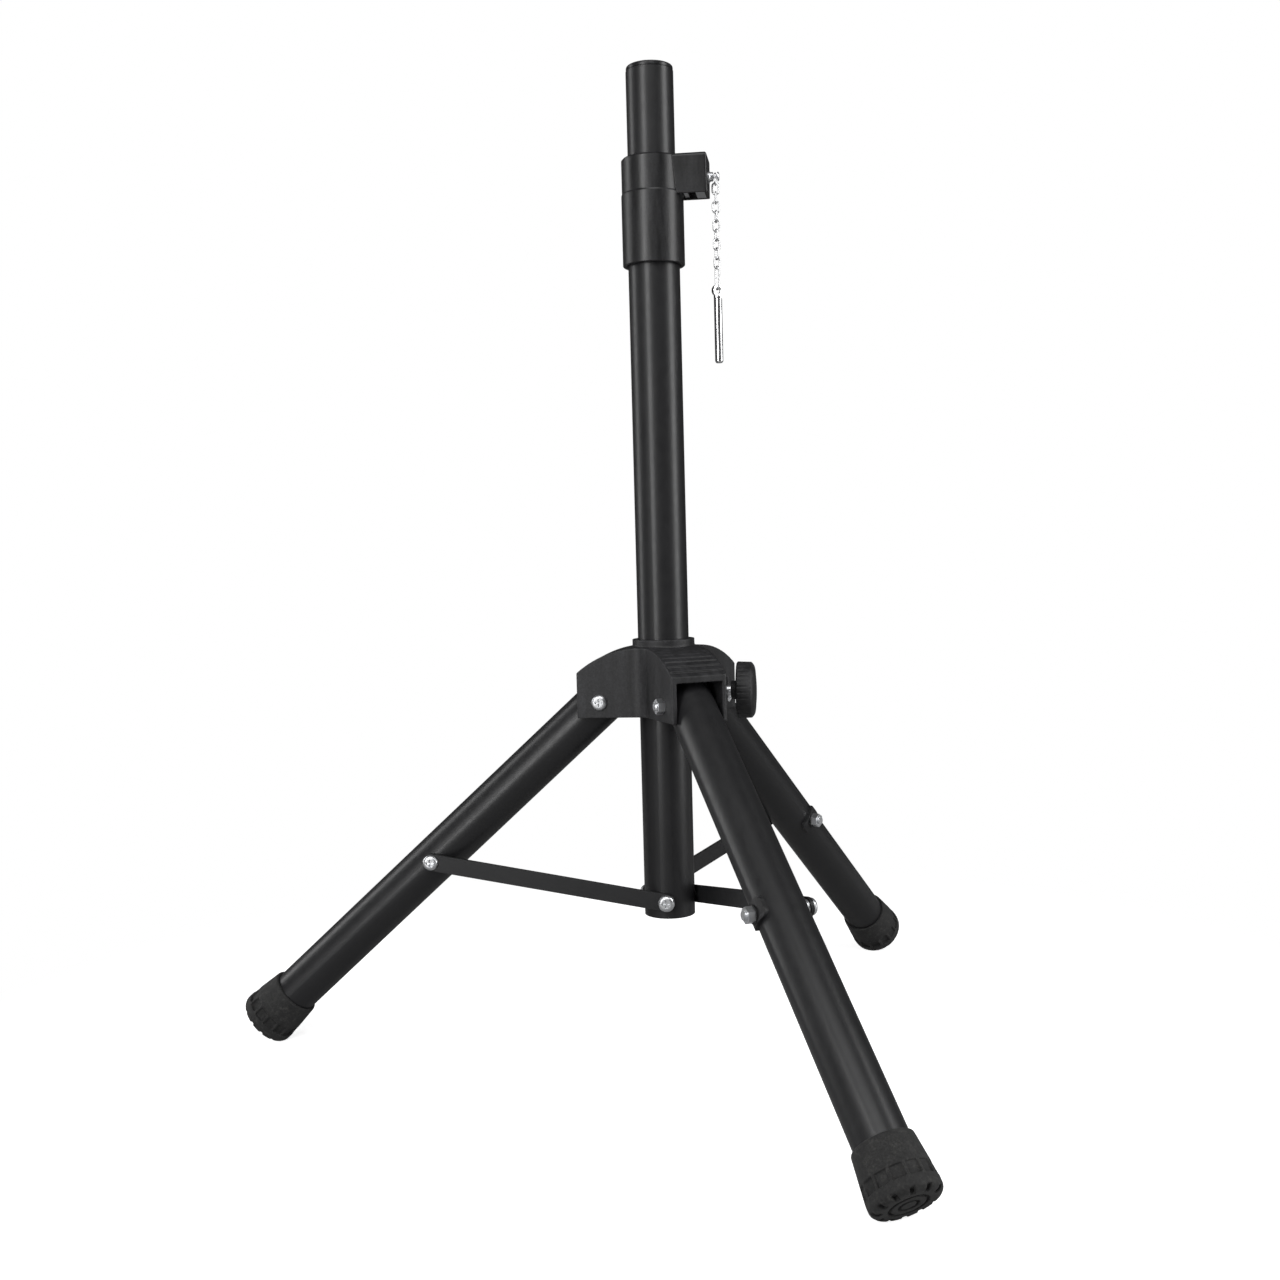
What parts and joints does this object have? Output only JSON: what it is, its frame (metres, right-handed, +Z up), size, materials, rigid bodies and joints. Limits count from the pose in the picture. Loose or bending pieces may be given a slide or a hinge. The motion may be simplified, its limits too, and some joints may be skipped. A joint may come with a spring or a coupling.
{
  "type": "speaker tripod stand",
  "caption": "Folding tripod floor stand for a loudspeaker, with telescoping pole, clamp knob, side lock, hinged braced legs and a locking pin on a chain.",
  "frame": {"origin": "on the floor, on the mast's axis", "axes": "+Z up along the mast; +X towards the clamp knob and the side lock; one leg towards -X"},
  "size_m": [0.5223, 0.596, 0.7329],
  "materials": {
    "tube_black": "satin black powder coat on steel tube",
    "brace_black": "satin black powder coat on flat steel bar",
    "hub_plastic": "matte black moulded nylon, fine grain",
    "collar_plastic": "satin black moulded plastic",
    "knob_plastic": "matte black moulded plastic",
    "cap_plastic": "semi-gloss black plastic",
    "foot_rubber": "matte black rubber",
    "washer_plastic": "matte black plastic",
    "glide_plastic": "waxy dark nylon",
    "zinc_steel": "bright zinc plated steel",
    "chrome": "polished nickel-chrome plate"
  },
  "bodies": {
    "hub": {"hub_body": "hub_plastic", "knob_nut": "zinc_steel", "pivot_bolts": "zinc_steel", "pivot_nuts": "zinc_steel"},
    "clamp_pad": {"clamp_pad": "glide_plastic"},
    "knob": {"knob_handle": "knob_plastic", "knob_stud": "zinc_steel"},
    "mast": {"mast_tube": "tube_black", "collar": "collar_plastic", "lock_housing": "collar_plastic", "lock_nut": "zinc_steel", "brace_inserts": "zinc_steel", "brace_screws": "zinc_steel"},
    "lock_pad": {"lock_pad": "glide_plastic", "lock_plate": "zinc_steel"},
    "lock_screw": {"lock_screw": "zinc_steel"},
    "upper_tube": {"upper_tube": "tube_black", "top_cap": "cap_plastic", "lower_guide": "glide_plastic"},
    "leg_left": {"leg_tube_left": "tube_black", "leg_plug_left": "cap_plastic", "foot_left": "foot_rubber", "brace_spacer_left": "zinc_steel", "brace_saddle_left": "washer_plastic", "brace_bolt_left": "zinc_steel", "brace_nut_left": "zinc_steel"},
    "brace_left": {"brace_bar_left": "brace_black", "brace_bolt_head_left": "zinc_steel"},
    "leg_front": {"leg_tube_front": "tube_black", "leg_plug_front": "cap_plastic", "foot_front": "foot_rubber", "brace_spacer_front": "zinc_steel", "brace_saddle_front": "washer_plastic", "brace_bolt_front": "zinc_steel", "brace_nut_front": "zinc_steel"},
    "brace_front": {"brace_bar_front": "brace_black", "brace_bolt_head_front": "zinc_steel"},
    "leg_back": {"leg_tube_back": "tube_black", "leg_plug_back": "cap_plastic", "foot_back": "foot_rubber", "brace_spacer_back": "zinc_steel", "brace_saddle_back": "washer_plastic", "brace_bolt_back": "zinc_steel", "brace_nut_back": "zinc_steel"},
    "brace_back": {"brace_bar_back": "brace_black", "brace_bolt_head_back": "zinc_steel"},
    "link_01": {"chain_link_01": "chrome"},
    "link_02": {"chain_link_02": "chrome"},
    "link_03": {"chain_link_03": "chrome"},
    "link_04": {"chain_link_04": "chrome"},
    "link_05": {"chain_link_05": "chrome"},
    "link_06": {"chain_link_06": "chrome"},
    "link_07": {"chain_link_07": "chrome"},
    "link_08": {"chain_link_08": "chrome"},
    "link_09": {"chain_link_09": "chrome"},
    "link_10": {"chain_link_10": "chrome"},
    "loop": {"chain_loop": "chrome"},
    "pin": {"safety_pin": "chrome"}
  },
  "joints": [
    {"name": "leg_left_fold", "type": "hinge", "parent": "hub", "child": "leg_left", "pos_m": [-0.0465, 0, 0.268], "axis": [0, -1, 0], "range_deg": [0, 47.8]},
    {"name": "leg_front_fold", "type": "hinge", "parent": "hub", "child": "leg_front", "pos_m": [0.02325, -0.04027, 0.268], "axis": [0.866, 0.5, 0], "range_deg": [0, 47.8]},
    {"name": "leg_back_fold", "type": "hinge", "parent": "hub", "child": "leg_back", "pos_m": [0.02325, 0.04027, 0.268], "axis": [-0.866, 0.5, 0], "range_deg": [0, 47.8]},
    {"name": "mast_slide", "type": "slide", "parent": "hub", "child": "mast", "axis": [0, 0, -1], "range_m": [0, 0.20533]},
    {"name": "brace_left_swing", "type": "hinge", "parent": "mast", "child": "brace_left", "pos_m": [0, -0.0209, 0.117], "axis": [0, 1, 0], "range_deg": [0, 65.74]},
    {"name": "brace_front_swing", "type": "hinge", "parent": "mast", "child": "brace_front", "pos_m": [0.0181, 0.01045, 0.117], "axis": [-0.866, -0.5, 0], "range_deg": [0, 65.74]},
    {"name": "brace_back_swing", "type": "hinge", "parent": "mast", "child": "brace_back", "pos_m": [-0.0181, 0.01045, 0.117], "axis": [0.866, -0.5, 0], "range_deg": [0, 65.74]},
    {"name": "clamp_pad_slide", "type": "slide", "parent": "hub", "child": "clamp_pad", "axis": [1, 0, 0], "range_m": [0, 0.00251]},
    {"name": "knob_turn", "type": "hinge", "parent": "clamp_pad", "child": "knob", "pos_m": [0.06, 0, 0.274], "axis": [1, 0, 0], "range_deg": [0, 720]},
    {"name": "lock_pad_slide", "type": "slide", "parent": "mast", "child": "lock_pad", "axis": [1, 0, 0], "range_m": [0, 0.00126]},
    {"name": "lock_screw_turn", "type": "hinge", "parent": "lock_pad", "child": "lock_screw", "pos_m": [0.046, 0, 0.651], "axis": [1, 0, 0], "range_deg": [0, 360]},
    {"name": "upper_tube_slide", "type": "slide", "parent": "mast", "child": "upper_tube", "axis": [0, 0, 1], "range_m": [0, 0.42]},
    {"name": "link_01_swing", "type": "hinge", "parent": "lock_pad", "child": "link_01", "pos_m": [0.0466, 0, 0.651], "axis": [1, 0, 0], "range_deg": [-25, 25]},
    {"name": "link_02_swing", "type": "hinge", "parent": "link_01", "child": "link_02", "pos_m": [0.0466, 0, 0.64505], "axis": [0, 1, 0], "range_deg": [-8, 8]},
    {"name": "link_03_swing", "type": "hinge", "parent": "link_02", "child": "link_03", "pos_m": [0.0466, 0, 0.63835], "axis": [1, 0, 0], "range_deg": [-8, 8]},
    {"name": "link_04_swing", "type": "hinge", "parent": "link_03", "child": "link_04", "pos_m": [0.0466, 0, 0.63165], "axis": [-0.1045, 0.9945, 0], "range_deg": [-8, 8]},
    {"name": "link_05_swing", "type": "hinge", "parent": "link_04", "child": "link_05", "pos_m": [0.0466, 0, 0.62495], "axis": [0.9848, 0.1736, 0], "range_deg": [-10, 10]},
    {"name": "link_06_swing", "type": "hinge", "parent": "link_05", "child": "link_06", "pos_m": [0.0466, 0, 0.61825], "axis": [-0.2756, 0.9613, 0], "range_deg": [-10, 10]},
    {"name": "link_07_swing", "type": "hinge", "parent": "link_06", "child": "link_07", "pos_m": [0.0466, 0, 0.61155], "axis": [0.9272, 0.3746, 0], "range_deg": [-12, 12]},
    {"name": "link_08_swing", "type": "hinge", "parent": "link_07", "child": "link_08", "pos_m": [0.0466, 0, 0.60485], "axis": [-0.4695, 0.8829, 0], "range_deg": [-12, 12]},
    {"name": "link_09_swing", "type": "hinge", "parent": "link_08", "child": "link_09", "pos_m": [0.0466, 0, 0.59815], "axis": [0.848, 0.5299, 0], "range_deg": [-14, 14]},
    {"name": "link_10_swing", "type": "hinge", "parent": "link_09", "child": "link_10", "pos_m": [0.0466, 0, 0.59145], "axis": [-0.5592, 0.829, 0], "range_deg": [-14, 14]},
    {"name": "loop_swing", "type": "hinge", "parent": "link_10", "child": "loop", "pos_m": [0.0466, 0, 0.58475], "axis": [0.788, 0.6157, 0], "range_deg": [-16, 16]},
    {"name": "pin_swing", "type": "hinge", "parent": "loop", "child": "pin", "pos_m": [0.0466, 0, 0.56975], "axis": [-0.6157, 0.788, 0], "range_deg": [-18, 18]}
  ],
  "couplings": [
    {"joint": "leg_front_fold", "follows": "leg_left_fold", "ratio": 1},
    {"joint": "leg_back_fold", "follows": "leg_left_fold", "ratio": 1},
    {"joint": "mast_slide", "follows": "leg_left_fold", "m_per_rad": 0.2461},
    {"joint": "brace_left_swing", "follows": "leg_left_fold", "ratio": 1.3751},
    {"joint": "brace_front_swing", "follows": "leg_left_fold", "ratio": 1.3751},
    {"joint": "brace_back_swing", "follows": "leg_left_fold", "ratio": 1.3751},
    {"joint": "clamp_pad_slide", "follows": "knob_turn", "m_per_rad": 0.00019894}
  ]
}
